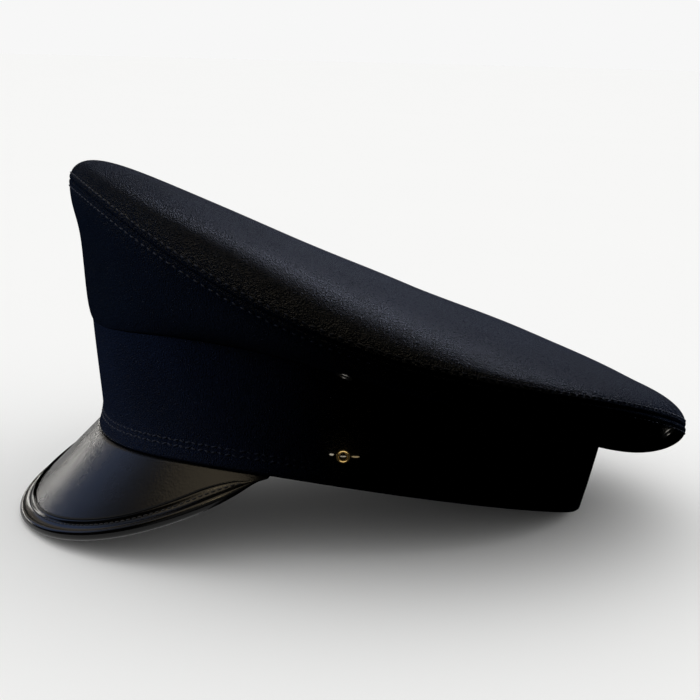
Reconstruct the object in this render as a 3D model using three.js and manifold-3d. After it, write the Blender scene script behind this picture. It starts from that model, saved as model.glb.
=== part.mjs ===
// A peaked cap of dark navy wool cloth with a glossy black peak, at its real size in millimetres.
// +Z is up and the front of the cap faces -Y, so the wearer's left side is +X. The cap stands as it does
// by itself on a table: on the rim of its peak and on the rear of its band, with z = 0 the table and the
// middle of its length at y = 0. Angles run round the cap from its front, over the wearer's left side.

import * as THREE from 'three';
import { mergeVertices } from 'three/addons/utils/BufferGeometryUtils.js';
import Module from 'manifold-3d';

const wasm = await Module();
wasm.setup();

// Driving dimensions

const CLOTH = 2; // wall of the crown and the band, cloth with its backing
const PEAK_BOARD = 1.6; // the stiff peak
const GAP = 0.3; // between pieces that are sewn or riveted together

// Three rings of the cap. Each is an oval in plan: half its length, half its width and the place of its
// middle. Its height above the table is given at five stations from the front round to the rear.
const BAND_EDGE = {
  halfLength: 101.3,
  halfWidth: 92,
  centreY: -3.1,
  height: { front: 35.2, frontQuarter: 37.7, side: 29.3, rearQuarter: 11.4, rear: -1.4 },
};
const BAND_TOP = {
  halfLength: 107.6,
  halfWidth: 97,
  centreY: -2.1,
  height: { front: 81.4, frontQuarter: 85.5, side: 67.5, rearQuarter: 41.6, rear: 27.3 },
};
const TOP_SEAM = {
  halfLength: 129,
  halfWidth: 124.4,
  centreY: 10.7,
  height: { front: 137.6, frontQuarter: 110.6, side: 78.6, rearQuarter: 53.8, rear: 32.8 },
};

// How the crown's side leaves the band and how it comes up to the top seam: the pull of the curve out
// from the ring and up or down from it, at three stations.
const LEAVES_BAND = {
  out: { front: 3, side: 10.9, rear: 14.7 },
  up: { front: 0.3, side: 0.8, rear: -8.8 },
};
const MEETS_SEAM = {
  out: { front: -4.5, side: 0.9, rear: 0.8 },
  up: { front: -18.8, side: -6.9, rear: -10.9 },
};

// The top panel: how high it rolls up from the seam and in the middle, how tight that roll is, its low
// dome, and the power by which the seam's ripple fades towards the middle.
const TOP_ROLL = { front: 15.5, side: 9, rear: 15.3 };
const TOP_MIDDLE_ROLL = 11;
const TOP_TIGHTNESS = { front: 10.8, side: 9, rear: 12 };
const TOP_DOME = 1.7;
const RIPPLE_FADE = 8;

// The peak: how far round the band it is sewn, where its rim lies at the front, and its sewing edge.
const PEAK_HALF_ANGLE = 59;
const PEAK_TIP = { y: -139.6, z: 1.2 };
const PEAK_LIFT = -0.19; // how the rim's height departs from an even rise between tip and ends
const PEAK_END_REACH = 1.5; // how far the rim's ends stand out from the band
const SEWING_EDGE = 9; // height of the edge turned up inside the band
const SEWING_ROOM = 0.6; // between that edge and the band's inner face
const PEAK_SWELL = 2.5; // the band's bulge over the sewing edge, at the front
const PEAK_SWELL_HEIGHT = 5.5;

// The bound rim of the peak, as a section across it: an outer bead, a flat channel for the stitches and
// a small inner bead.
const BINDING = {
  reach: 2, // from the board's edge out to the outline of the rim
  width: 7,
  bead: 2.5, // radius of the outer bead
  beadIn: 0.6, // from the board's edge in to the bead's middle
  leg: 1, // thickness over and under the board
  innerBead: 0.6, // its height over the channel
  innerBeadWidth: 1.5,
};

// Eyelets: where they stand, and their radii. Each has a flange outside and one inside, and the inner one
// lies deeper where the cloth is rolled.
const BAND_EYELET = { hole: 1.45, barrel: 1.95, flange: 2.6, lip: 0.7, deeper: 0 };
const SIDE_VENT = { hole: 1.7, barrel: 2.2, flange: 3.1, lip: 0.6, deeper: 0.3 };
const REAR_VENT = { ...SIDE_VENT, deeper: 1.2 };
const BAND_EYELET_PLACE = { angle: 74.4, along: 0.284 };
const SIDE_VENT_PLACE = { angle: 72.7, along: 0.258 };
const REAR_VENT_PLACE = { angle: 135.2, along: 0.8 };

// How finely the curved cloth is divided
const COLUMNS = 52;
const SIDE_ROWS = 9;
const BEAD_STEPS = 6;
const BEAD_START = 48; // degrees, where the bead rises from the channel
const PEAK_COLUMNS = 28;
const EYELET_SIDES = 12;

const FULL = 2 * Math.PI;
const STEP = 1e-3; // for slopes taken from differences
const LEAST_AREA = 1e-7;
const BEYOND_ENDS = 0.01; // of the peak's half length, for what clears its ends
const MERGE = 1e-4; // corners closer than this are one

function radians(degrees) {
  return THREE.MathUtils.degToRad(degrees);
}

function endHalf(index, last) {
  return index === 0 || index === last ? 0.5 : 1;
}

// A value between stations that lie evenly from the front to the rear: the cosine series in the angle
// that goes through them, the same on both sides of the cap.
function around(stations, angle) {
  const values = Object.values(stations);
  const last = values.length - 1;
  let sum = 0;
  for (let k = 0; k <= last; k += 1) {
    let term = 0;
    for (let j = 0; j <= last; j += 1) {
      term += endHalf(j, last) * values[j] * Math.cos((Math.PI * j * k) / last);
    }
    sum += endHalf(k, last) * term * Math.cos(k * angle);
  }
  return (2 / last) * sum;
}

// The table flattens what would reach below it.
function onRing(ring, angle) {
  return new THREE.Vector3(
    ring.halfWidth * Math.sin(angle),
    ring.centreY - ring.halfLength * Math.cos(angle),
    Math.max(around(ring.height, angle), 0),
  );
}

function outward(ring, angle) {
  const out = new THREE.Vector3(Math.sin(angle) / ring.halfWidth, -Math.cos(angle) / ring.halfLength, 0);
  return out.normalize();
}

function pointUp() {
  return new THREE.Vector3(0, 0, 1);
}

// The cloth's outer surfaces, each a function of the angle and of the way along it

// The band: straight from its lower edge to its top, and swollen over the peak's sewing edge.
function bandSurface(angle, along) {
  const low = onRing(BAND_EDGE, angle);
  const high = onRing(BAND_TOP, angle);
  const rise = ((high.z - low.z) * along) / PEAK_SWELL_HEIGHT;
  const swell = PEAK_SWELL * Math.max(Math.cos(angle), 0) * Math.exp(-rise * rise);
  return low.lerp(high, along).addScaledVector(outward(BAND_EDGE, angle), swell);
}

// The crown's side: a cubic curve from the band's top to the top seam.
function sideSurface(angle, along) {
  const out = outward(TOP_SEAM, angle);
  const start = onRing(BAND_TOP, angle);
  const end = onRing(TOP_SEAM, angle);
  const leave = start.clone().addScaledVector(out, around(LEAVES_BAND.out, angle));
  leave.z += around(LEAVES_BAND.up, angle);
  const arrive = end.clone().addScaledVector(out, around(MEETS_SEAM.out, angle));
  arrive.z += around(MEETS_SEAM.up, angle);
  return new THREE.CubicBezierCurve3(start, leave, arrive, end).getPoint(along);
}

// The top: from the seam, where inwards is 0, to the middle, where it is 1. Its height is a tilted plane,
// the seam's own ripple that fades out, a roll up from the seam, and a low dome.
function topSurface(angle, inwards) {
  const share = 1 - inwards;
  const seam = onRing(TOP_SEAM, angle);
  const { front, rear } = TOP_SEAM.height;
  const middle = (front + rear) / 2;
  const plane = middle + ((front - rear) / 2) * Math.cos(angle);
  const roll = THREE.MathUtils.lerp(TOP_MIDDLE_ROLL, around(TOP_ROLL, angle), share ** 2);
  const rollShape = Math.sqrt(Math.max(1 - share ** around(TOP_TIGHTNESS, angle), 0));
  const tilted = middle + share * (plane - middle) + (seam.z - plane) * share ** RIPPLE_FADE;
  const height = tilted + roll * rollShape + TOP_DOME * (1 - share ** 2);
  const lengthwise = TOP_SEAM.centreY + share * (seam.y - TOP_SEAM.centreY);
  return new THREE.Vector3(share * seam.x, lengthwise, height);
}

// The outward normal of a surface at one place
function normalOf(surface, angle, along) {
  const before = Math.max(along - STEP, 0);
  const after = Math.min(along + STEP, 1);
  const across = surface(angle + STEP, along).sub(surface(angle - STEP, along));
  const upward = surface(angle, after).sub(surface(angle, before));
  return across.cross(upward).normalize();
}

// Bodies from grids of points

// A closed geometry from triangles given as corners: equal corners are shared, triangles without area are
// left out, and the faces are turned to point out of the body.
function closedBody(triangles) {
  const solid = triangles.filter(([a, b, c]) => {
    const doubleArea = b.clone().sub(a).cross(c.clone().sub(a)).length();
    return doubleArea > LEAST_AREA;
  });
  const volume = solid.reduce((sum, [a, b, c]) => sum + a.dot(b.clone().cross(c)), 0);
  const corners = solid.flatMap(([a, b, c]) => (volume < 0 ? [a, c, b] : [a, b, c]));
  const geometry = new THREE.BufferGeometry().setFromPoints(corners);
  return mergeVertices(geometry, MERGE);
}

// A skin through loops of points, each loop a section of the body. The first and the last section are
// closed by caps, or the sections run round to the first again.
function skinThrough(sections, { ring }) {
  const triangles = [];
  const count = sections.length;
  const points = sections[0].length;
  const last = ring ? count : count - 1;
  for (let i = 0; i < last; i += 1) {
    const here = sections[i];
    const next = sections[(i + 1) % count];
    for (let j = 0; j < points; j += 1) {
      const k = (j + 1) % points;
      triangles.push([here[j], next[j], next[k]], [here[j], next[k], here[k]]);
    }
  }
  if (!ring) {
    triangles.push(...capOf(sections[0], true), ...capOf(sections[count - 1], false));
  }
  return closedBody(triangles);
}

// The end of a skin: its loop is as many points out along one face as back along the other, so pairs of
// points make a strip.
function capOf(loop, flipped) {
  const triangles = [];
  const last = loop.length - 1;
  for (let j = 0; 2 * j + 1 < last; j += 1) {
    const a = loop[j];
    const b = loop[j + 1];
    const c = loop[last - j - 1];
    const d = loop[last - j];
    triangles.push([a, b, c], [a, c, d]);
  }
  return flipped ? triangles : triangles.map(([a, b, c]) => [a, c, b]);
}

// One loop across a wall: out along its outer face and back along its inner one.
function wallLoop(outer, inner) {
  return [...outer, ...inner.reverse()];
}

function evenly(count, from, to) {
  return Array.from({ length: count + 1 }, (unused, i) => THREE.MathUtils.lerp(from, to, i / count));
}

function wholeTurn() {
  return evenly(COLUMNS, 0, FULL).slice(0, COLUMNS);
}

// The cap's pieces

// Rows of points are close where the cloth curves most: near the band, over the roll and over the swell.
const CROWN_ROWS = evenly(SIDE_ROWS, 0, 1).map((part) => part ** 1.3);
const TOP_ROLL_ROWS = [0, 14, 27, 40, 53, 66, 78]
  .map((turn) => 1 - Math.cos(radians(turn)) ** (2 / TOP_TIGHTNESS.front));
const TOP_ROWS = [...TOP_ROLL_ROWS, 0.52, 0.76, 1];
const BAND_ROWS = [0, 0.06, 0.13, 0.25, 0.6, 1];

// A section through the band. With a margin it is that much fatter inside, outside and below.
function bandSection(angle, margin) {
  const out = outward(BAND_EDGE, angle);
  const face = BAND_ROWS.map((along) => bandSurface(angle, along));
  face[0].z -= margin;
  face[face.length - 1].z -= GAP;
  const outer = face.map((point) => point.clone().addScaledVector(out, margin));
  const inner = face.map((point) => point.clone().addScaledVector(out, -CLOTH - margin));
  return wallLoop(outer, inner);
}

function bandBody(margin) {
  return skinThrough(wholeTurn().map((angle) => bandSection(angle, margin)), { ring: true });
}

// Where a wall starts from a seam, its thickness is measured level, and it turns square to the cloth
// within twice its thickness of the seam.
function wallDirection(normal, out, distance) {
  const turned = Math.min(distance / (2 * CLOTH), 1);
  return out.clone().lerp(normal, turned).normalize();
}

// The side's cloth turns in over the band's top edge, and its upper edge is cut level with the seam.
function sideSection(angle) {
  const out = outward(TOP_SEAM, angle);
  const outer = CROWN_ROWS.map((along) => sideSurface(angle, along));
  const seam = outer[outer.length - 1];
  const inner = outer.map((point, row) => {
    const normal = row === 0 ? pointUp().negate() : normalOf(sideSurface, angle, CROWN_ROWS[row]);
    const direction = wallDirection(normal, out, point.distanceTo(seam));
    return point.clone().addScaledVector(direction, -CLOTH);
  });
  const turnIn = outer[0].clone().addScaledVector(out, -CLOTH);
  outer.unshift(turnIn);
  inner.unshift(turnIn.clone().add(pointUp().multiplyScalar(CLOTH)));
  return wallLoop(outer, inner);
}

function sidePanel(middle) {
  const half = radians(90) - GAP / 2 / TOP_SEAM.halfWidth;
  const angles = evenly(COLUMNS / 2, middle - half, middle + half);
  return skinThrough(angles.map(sideSection), { ring: false });
}

function topSection(angle) {
  const out = outward(TOP_SEAM, angle);
  const outer = TOP_ROWS.map((inwards) => topSurface(angle, inwards));
  outer[0].z += GAP;
  const inner = outer.map((point, row) => {
    const inwards = TOP_ROWS[row];
    const normal = inwards === 1 ? pointUp() : normalOf(topSurface, angle, inwards);
    const direction = wallDirection(normal, out, point.distanceTo(outer[0]));
    return point.clone().addScaledVector(direction, -CLOTH);
  });
  return wallLoop(outer, inner);
}

// The rim of the peak: from one end on the band, round by the tip, to the other end
function rimPoint(share) {
  const turn = (share * Math.PI) / 2;
  const end = bandSurface(radians(PEAK_HALF_ANGLE), 0);
  end.addScaledVector(outward(BAND_EDGE, radians(PEAK_HALF_ANGLE)), PEAK_END_REACH);
  const back = 1 - Math.cos(turn);
  const rise = back + PEAK_LIFT * Math.sin(turn) ** 2 * Math.cos(turn);
  return new THREE.Vector3(
    end.x * Math.sin(turn),
    THREE.MathUtils.lerp(PEAK_TIP.y, end.y, back),
    THREE.MathUtils.lerp(PEAK_TIP.z, end.z - GAP, rise),
  );
}

// The peak's frame at one place of the rim: the foot of its slope under the band's edge, the way down the
// slope, the way out of its upper face, and the way along the rim.
function peakFrame(share) {
  const angle = share * radians(PEAK_HALF_ANGLE);
  const foot = bandSurface(angle, 0);
  foot.z -= GAP;
  const rim = rimPoint(share);
  const slope = rim.clone().sub(foot);
  const width = slope.length();
  slope.normalize();
  const alongRim = rimPoint(share + STEP).sub(rimPoint(share - STEP)).normalize();
  const face = alongRim.clone().cross(slope).normalize();
  if (face.z < 0) {
    face.negate();
  }
  return { angle, foot, rim, slope, width, alongRim, face };
}

function boardEdge(frame) {
  const reach = Math.min(BINDING.reach, frame.width / 2);
  return frame.rim.clone().addScaledVector(frame.slope, -reach);
}

// A section through the peak: the sewing edge inside the band, the bend under the band's edge, and the
// slope out to the rim. With a margin it is that much fatter all round.
function peakSection(share, margin) {
  const frame = peakFrame(share);
  const out = outward(BAND_EDGE, frame.angle);
  const height = around(BAND_TOP.height, frame.angle) - around(BAND_EDGE.height, frame.angle);
  const inside = margin - CLOTH - SEWING_ROOM;
  const edgeTop = bandSurface(frame.angle, SEWING_EDGE / height).addScaledVector(out, inside);
  const bend = frame.foot.clone().addScaledVector(out, inside);
  bend.z += margin;
  const foot = frame.foot.clone().addScaledVector(frame.face, margin);
  const edge = boardEdge(frame).addScaledVector(frame.slope, margin).addScaledVector(frame.face, margin);
  const thick = PEAK_BOARD + 2 * margin;
  const outer = [edgeTop, bend, foot, foot.clone().lerp(edge, 1 / 3), foot.clone().lerp(edge, 2 / 3), edge];
  const under = edge.clone().addScaledVector(frame.face, -thick);
  const underFoot = foot.clone().addScaledVector(frame.face, -thick);
  const underBend = bend.clone().addScaledVector(out, -thick);
  underBend.z -= thick;
  const inner = [
    edgeTop.clone().addScaledVector(out, -thick),
    underBend,
    underFoot,
    underFoot.clone().lerp(under, 1 / 3),
    underFoot.clone().lerp(under, 2 / 3),
    under,
  ];
  return wallLoop(outer, inner);
}

function peakBody(margin) {
  const shares = evenly(PEAK_COLUMNS, -1, 1);
  if (margin > 0) {
    shares.unshift(-1 - BEYOND_ENDS);
    shares.push(1 + BEYOND_ENDS);
  }
  return skinThrough(shares.map((share) => peakSection(share, margin)), { ring: false });
}

// The binding's section, as points in from the board's edge and up from its upper face: over the small
// bead and the channel to the outer bead, round it, and back underneath.
function bindingOutline() {
  const { width, bead, beadIn, leg, innerBead, innerBeadWidth } = BINDING;
  const middle = -PEAK_BOARD / 2;
  const over = leg + GAP;
  const under = -PEAK_BOARD - GAP - leg;
  const turns = evenly(BEAD_STEPS, BEAD_START, 180);
  const upper = turns.map((turn) => [
    beadIn + bead * Math.cos(radians(turn)),
    middle + bead * Math.sin(radians(turn)),
  ]);
  const lower = turns.map((turn) => [
    beadIn + bead * Math.cos(radians(turn)),
    middle - bead * Math.sin(radians(turn)),
  ]);
  const crest = width - innerBeadWidth / 2;
  const channel = width - innerBeadWidth;
  const top = [[width, over], [crest, over + innerBead], [channel, over], ...upper];
  const bottom = [[width, under + leg / 3], [crest, under], [channel, under], ...lower];
  return { top, bottom };
}

function bindingSection(share) {
  const frame = peakFrame(share);
  const edge = boardEdge(frame);
  const inward = frame.face.clone().cross(frame.alongRim).normalize();
  if (inward.dot(frame.slope) > 0) {
    inward.negate();
  }
  const taper = Math.min(1, frame.width / (BINDING.width + BINDING.reach));
  const { top, bottom } = bindingOutline();
  const place = ([inwards, up]) => edge.clone()
    .addScaledVector(inward, inwards > 0 ? inwards * taper : inwards)
    .addScaledVector(frame.face, up);
  return wallLoop(top.map(place), bottom.map(place));
}

// Joining and cutting

function toSolid(geometry) {
  const merged = mergeVertices(geometry, MERGE);
  return new wasm.Manifold(new wasm.Mesh({
    numProp: 3,
    vertProperties: new Float32Array(merged.attributes.position.array),
    triVerts: new Uint32Array(merged.index.array),
  }));
}

function toGeometry(solid) {
  const { vertProperties, triVerts } = solid.getMesh();
  const geometry = new THREE.BufferGeometry();
  geometry.setAttribute('position', new THREE.BufferAttribute(new Float32Array(vertProperties), 3));
  geometry.setIndex(new THREE.BufferAttribute(new Uint32Array(triVerts), 1));
  return geometry;
}

function largestPiece(solid) {
  return solid.decompose().reduce((best, piece) => (piece.volume() > best.volume() ? piece : best));
}

function onlyPositions(geometry) {
  geometry.deleteAttribute('normal');
  geometry.deleteAttribute('uv');
  return mergeVertices(geometry, MERGE);
}

// An eyelet turns about +Y with its outer flange at y = 0 and up, and its inner one under the cloth.
function eyeletProfile({ hole, barrel, flange, lip, deeper }) {
  const outside = GAP;
  const inside = -CLOTH - GAP - deeper;
  const points = [
    [hole, inside - lip],
    [flange, inside - lip],
    [flange, inside],
    [barrel, inside],
    [barrel, outside],
    [flange, outside],
    [flange, outside + lip * 0.5],
    [(hole + flange) / 2, outside + lip],
    [hole, outside + lip * 0.5],
    [hole, inside - lip],
  ];
  return points.map(([radius, height]) => new THREE.Vector2(radius, height));
}

function eyeletGeometry(sizes) {
  return onlyPositions(new THREE.LatheGeometry(eyeletProfile(sizes), EYELET_SIDES));
}

function holeGeometry(sizes) {
  const depth = 5 * CLOTH; // right through the wall
  const radius = sizes.barrel + GAP;
  return onlyPositions(new THREE.CylinderGeometry(radius, radius, depth, EYELET_SIDES));
}

// Where an eyelet stands: on the cloth's outer face, with +Y along the way out of it.
function eyeletPlace(surface, { angle, along }, side) {
  const turn = side * radians(angle);
  const position = surface(turn, along);
  const normal = normalOf(surface, turn, along);
  const quaternion = new THREE.Quaternion().setFromUnitVectors(new THREE.Vector3(0, 1, 0), normal);
  return { position, quaternion };
}

const SIDES = { left: 1, right: -1 };

function placesOf(surface, place) {
  return Object.values(SIDES).map((side) => eyeletPlace(surface, place, side));
}

function drilled(geometry, sizes, places) {
  const drill = holeGeometry(sizes);
  return places.reduce((solid, { position, quaternion }) => {
    const hole = drill.clone().applyQuaternion(quaternion).translate(position.x, position.y, position.z);
    return solid.subtract(toSolid(hole));
  }, toSolid(geometry));
}

// Materials, from the photo

const navyWool = new THREE.MeshStandardMaterial({ color: '#1d212c', roughness: 0.95, metalness: 0 });
const bandWool = new THREE.MeshStandardMaterial({ color: '#171b25', roughness: 0.95, metalness: 0 });
const patentBlack = new THREE.MeshStandardMaterial({ color: '#15171a', roughness: 0.25, metalness: 0 });
const bindingBlack = new THREE.MeshStandardMaterial({ color: '#1a1b1d', roughness: 0.35, metalness: 0 });
const brass = new THREE.MeshStandardMaterial({ color: '#c9a45a', roughness: 0.3, metalness: 1 });
const darkMetal = new THREE.MeshStandardMaterial({ color: '#3a3c42', roughness: 0.4, metalness: 1 });

const cap = new THREE.Group();

function addPiece(name, geometry, material) {
  const mesh = new THREE.Mesh(geometry, material);
  mesh.name = name;
  cap.add(mesh);
  return mesh;
}

const bandPlaces = placesOf(bandSurface, BAND_EYELET_PLACE);
const sideVentPlaces = placesOf(sideSurface, SIDE_VENT_PLACE);
const rearVentPlaces = placesOf(sideSurface, REAR_VENT_PLACE);

addPiece('crown_top', skinThrough(wholeTurn().map(topSection), { ring: true }), navyWool);
addPiece('crown_side_front', toGeometry(drilled(sidePanel(0), SIDE_VENT, sideVentPlaces)), navyWool);
addPiece('crown_side_rear', toGeometry(drilled(sidePanel(Math.PI), REAR_VENT, rearVentPlaces)), navyWool);
addPiece('cap_band', toGeometry(drilled(bandBody(0), BAND_EYELET, bandPlaces)), bandWool);
addPiece('peak', peakBody(0), patentBlack);

// The binding is swept round the rim, and cleared of the board it wraps and of the band's edge.
const bindingSweep = skinThrough(evenly(PEAK_COLUMNS, -1, 1).map(bindingSection), { ring: false });
const bindingSolid = toSolid(bindingSweep).subtract(toSolid(peakBody(GAP))).subtract(toSolid(bandBody(GAP)));
addPiece('peak_binding', toGeometry(largestPiece(bindingSolid)), bindingBlack);

const eyeletGroups = [
  { name: 'band_eyelet', sizes: BAND_EYELET, places: bandPlaces, material: brass },
  { name: 'side_vent', sizes: SIDE_VENT, places: sideVentPlaces, material: darkMetal },
  { name: 'rear_vent', sizes: REAR_VENT, places: rearVentPlaces, material: darkMetal },
];
for (const { name, sizes, places, material } of eyeletGroups) {
  Object.keys(SIDES).forEach((side, index) => {
    const eyelet = addPiece(`${name}_${side}`, eyeletGeometry(sizes), material);
    eyelet.position.copy(places[index].position);
    eyelet.quaternion.copy(places[index].quaternion);
  });
}

export default cap;
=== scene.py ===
"""A peaked cap of dark navy wool cloth with a glossy black peak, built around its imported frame.

Sizes in this file are millimetres unless a name says otherwise; a mesh gets metres as it is made.
+Z is up, the front of the cap faces -Y and the wearer's left side is +X. Angles run round the cap
from its front, over the wearer's left side. The stages and formulas of the cloth are the frame's own,
so each piece lies where the solid that it stands for lies.
"""

import math
from typing import NamedTuple

import bmesh
import bpy
import numpy as np
from mathutils import Matrix, Vector


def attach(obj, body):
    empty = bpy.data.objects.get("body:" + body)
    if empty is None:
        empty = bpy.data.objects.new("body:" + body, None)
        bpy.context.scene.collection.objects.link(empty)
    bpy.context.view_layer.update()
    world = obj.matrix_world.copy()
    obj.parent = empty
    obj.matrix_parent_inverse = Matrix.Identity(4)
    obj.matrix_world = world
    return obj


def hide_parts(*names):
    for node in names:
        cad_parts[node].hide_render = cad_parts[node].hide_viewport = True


bl_info = {
    "name": "Peaked cap",
    "version": (1, 0, 0),
    "blender": (4, 5, 0),
    "location": "3D View > Sidebar > Peaked cap",
    "description": "Builds the cloth, the peak and the fittings of a navy peaked cap around its frame",
    "category": "Add Mesh",
}

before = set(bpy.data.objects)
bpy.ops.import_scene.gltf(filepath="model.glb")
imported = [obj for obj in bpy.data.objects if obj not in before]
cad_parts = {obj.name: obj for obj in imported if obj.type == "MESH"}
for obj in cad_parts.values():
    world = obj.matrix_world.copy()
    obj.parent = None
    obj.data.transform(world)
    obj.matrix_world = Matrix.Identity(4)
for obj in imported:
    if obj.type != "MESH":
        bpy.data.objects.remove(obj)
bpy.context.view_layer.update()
BODY = "root"
MM = 0.001  # metres in a millimetre
FULL = 2 * math.pi
STEP = 1e-3  # for slopes taken from differences
UV_NAME = "cloth"


def linear(hex_colour):
    """A linear RGB triple from an sRGB hex colour."""
    coded = np.array([int(hex_colour[i : i + 2], 16) for i in (1, 3, 5)]) / 255
    return tuple(np.where(coded <= 0.04045, coded / 12.92, ((coded + 0.055) / 1.055) ** 2.4))


# The rings of the cap, as the frame has them


class Ring(NamedTuple):
    """An oval in plan, with its height over the table at even stations from the front to the rear."""

    half_length: float
    half_width: float
    centre_y: float
    height: tuple


BAND_EDGE = Ring(101.3, 92, -3.1, (35.2, 37.7, 29.3, 11.4, -1.4))
BAND_TOP = Ring(107.6, 97, -2.1, (81.4, 85.5, 67.5, 41.6, 27.3))
TOP_SEAM = Ring(129, 124.4, 10.7, (137.6, 110.6, 78.6, 53.8, 32.8))

# Pulls on the cloth and its rolls, at stations at the front, the sides and the rear
LEAVES_BAND_OUT = (3, 10.9, 14.7)
LEAVES_BAND_UP = (0.3, 0.8, -8.8)
MEETS_SEAM_OUT = (-4.5, 0.9, 0.8)
MEETS_SEAM_UP = (-18.8, -6.9, -10.9)
TOP_ROLL = (15.5, 9, 15.3)
TOP_MIDDLE_ROLL = 11
TOP_TIGHTNESS = (10.8, 9, 12)
TOP_DOME = 1.7
RIPPLE_FADE = 8  # power by which the seam's ripple fades towards the middle

GAP = 0.3  # between pieces that are sewn or riveted together
PEAK_SWELL = 2.5  # the band's bulge over the peak's sewing edge, at the front
PEAK_SWELL_HEIGHT = 5.5
PEAK_HALF_ANGLE = math.radians(59)
PEAK_TIP_Y = -139.6
PEAK_TIP_Z = 1.2
PEAK_LIFT = -0.19  # how the rim's height departs from an even rise
PEAK_END_REACH = 1.5  # how far the rim's ends stand out from the band
SEWING_EDGE = 9  # height of the peak's edge turned up inside the band
SEWING_ROOM = 0.6  # between that edge and the band's inner face
BINDING_REACH = 2  # of the rim over the board's edge
BEAD_IN = 0.1  # of the outer bead's middle from the board's edge
BEAD_MIDDLE = -0.5  # height of the outer bead over the peak's face
BINDING_OVER = 0.8  # thickness of the binding on the peak's face
BINDING_LEG = 1  # thickness of the binding under the peak

# How finely the pieces are divided
CLOTH_COLUMNS = 480
SIDE_ROWS = 56
BAND_ROWS = 44
ROLL_ROWS = 40
DOME_ROWS = 26
PEAK_COLUMNS = 360
PEAK_ROWS = 24
LATHE_SIDES = 48


def length_property(name, description, millimetres):
    return bpy.props.FloatProperty(
        name=name, description=description, default=millimetres * MM, unit="LENGTH"
    )


def colour_property(name, description, hex_colour):
    return bpy.props.FloatVectorProperty(
        name=name, description=description, default=linear(hex_colour), size=3, subtype="COLOR", min=0, max=1
    )


class CapSizes(bpy.types.PropertyGroup):
    """Sizes that a maker would change without changing the cap's form."""

    cloth: length_property("Cloth", "Thickness of the crown's and the band's cloth with its backing", 2)
    board: length_property("Peak board", "Thickness of the stiff peak", 1.6)
    binding_width: length_property("Binding width", "How far the binding reaches in over the peak's edge", 7)
    bead_radius: length_property("Bead", "Radius of the binding's outer bead", 2)
    seam_row: length_property("Rows from the seam", "Distance of each topstitched row from the top seam", 2.7)
    seam_pitch: length_property("Seam stitch", "A stitch of the top seam with the space after it", 3.4)
    band_row: length_property("Band rows", "Height of the lower row of stitches over the band's edge", 5.6)
    band_row_space: length_property("Between band rows", "Distance between the band's rows of stitches", 2.1)
    band_pitch: length_property("Band stitch", "A stitch of the band with the space after it", 2.9)
    binding_pitch: length_property("Binding stitch", "A stitch of the binding with the space after it", 2.5)
    thread: length_property("Thread", "Thickness of the sewing thread", 0.55)


class CapColours(bpy.types.PropertyGroup):
    """The colours of the cap's finishes and of the floor under it."""

    crown: colour_property("Crown cloth", "Wool cloth of the crown", "#131b28")
    # The band is the crown's cloth, given a lighter colour as painted light for the light thrown up on the
    # band's front
    band: colour_property("Band cloth, painted lighter", "Wool cloth of the band", "#1a2233")
    thread: colour_property("Thread", "Sewing thread of the seams", "#3e424d")
    patent: colour_property("Patent leather", "Lacquer of the peak", "#08090b")
    binding: colour_property("Binding", "Coated strip round the peak's edge", "#0b0b0c")
    brass: colour_property("Brass", "Eyelets of the band", "#dcb765")
    vent: colour_property("Vents", "Blackened steel eyelets of the crown", "#8e9095")
    white_thread: colour_property("White thread", "Tacks beside the band's eyelets", "#f2f0ea")
    tan_thread: colour_property("Tan thread", "Tacks beside the band's eyelets", "#cdbd98")
    floor: colour_property("Floor", "Plain pale floor", "#f2f2f1")


# Surfaces of the cloth, each a function of the angle round the cap and of the way along the cloth


def unit(vectors):
    """Each vector over its length."""
    return vectors / np.linalg.norm(vectors, axis=-1, keepdims=True)


def lerp(a, b, share):
    """a, plus the way from a to b times the share."""
    return a + (b - a) * share


def stacked(*parts):
    """Points from arrays of their coordinates."""
    return np.stack(np.broadcast_arrays(*parts), axis=-1)


def around(stations, angle):
    """The cosine series in the angle that goes through stations spaced evenly from front to rear.

    Term k is the sum over the stations j of value times cos(pi j k / last), times cos(k angle), times
    2 / last; the first and the last, in both sums, count half.
    """
    last = len(stations) - 1
    k = np.arange(last + 1)
    half = np.where((k == 0) | (k == last), 0.5, 1)
    terms = half * (np.cos(np.pi * np.outer(k, k) / last) @ (half * np.array(stations))) * 2 / last
    return np.tensordot(terms, np.cos(np.multiply.outer(k, angle)), 1)


def on_ring(ring, angle):
    """(half width sin, centre - half length cos, height by the cosine series, not below the table)"""
    x = ring.half_width * np.sin(angle)
    y = ring.centre_y - ring.half_length * np.cos(angle)
    return stacked(x, y, np.maximum(around(ring.height, angle), 0))


def outward(ring, angle):
    """The level normal of the ring's oval: (sin / half width, -cos / half length), made one long."""
    return unit(stacked(np.sin(angle) / ring.half_width, -np.cos(angle) / ring.half_length, 0.0 * angle))


def band_surface(angle, along):
    """Straight from the lower edge to the top edge, plus a swell over the peak's sewing edge.

    The swell is its height times cos(angle), where that is positive, times exp(-(rise / height of the
    swell) squared), outwards.
    """
    low = on_ring(BAND_EDGE, angle)
    high = on_ring(BAND_TOP, angle)
    rise = (high[..., 2] - low[..., 2]) * along / PEAK_SWELL_HEIGHT
    swell = PEAK_SWELL * np.maximum(np.cos(angle), 0) * np.exp(-(rise**2))
    along = np.asarray(along)[..., None]
    return lerp(low, high, along) + outward(BAND_EDGE, angle) * swell[..., None]


def pulled(place, angle, out, out_pulls, up_pulls):
    """A place moved outwards and upwards by the stations' pulls at its angle."""
    outwards = out * around(out_pulls, angle)[..., None]
    return place + outwards + np.array([0, 0, 1]) * around(up_pulls, angle)[..., None]


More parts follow.
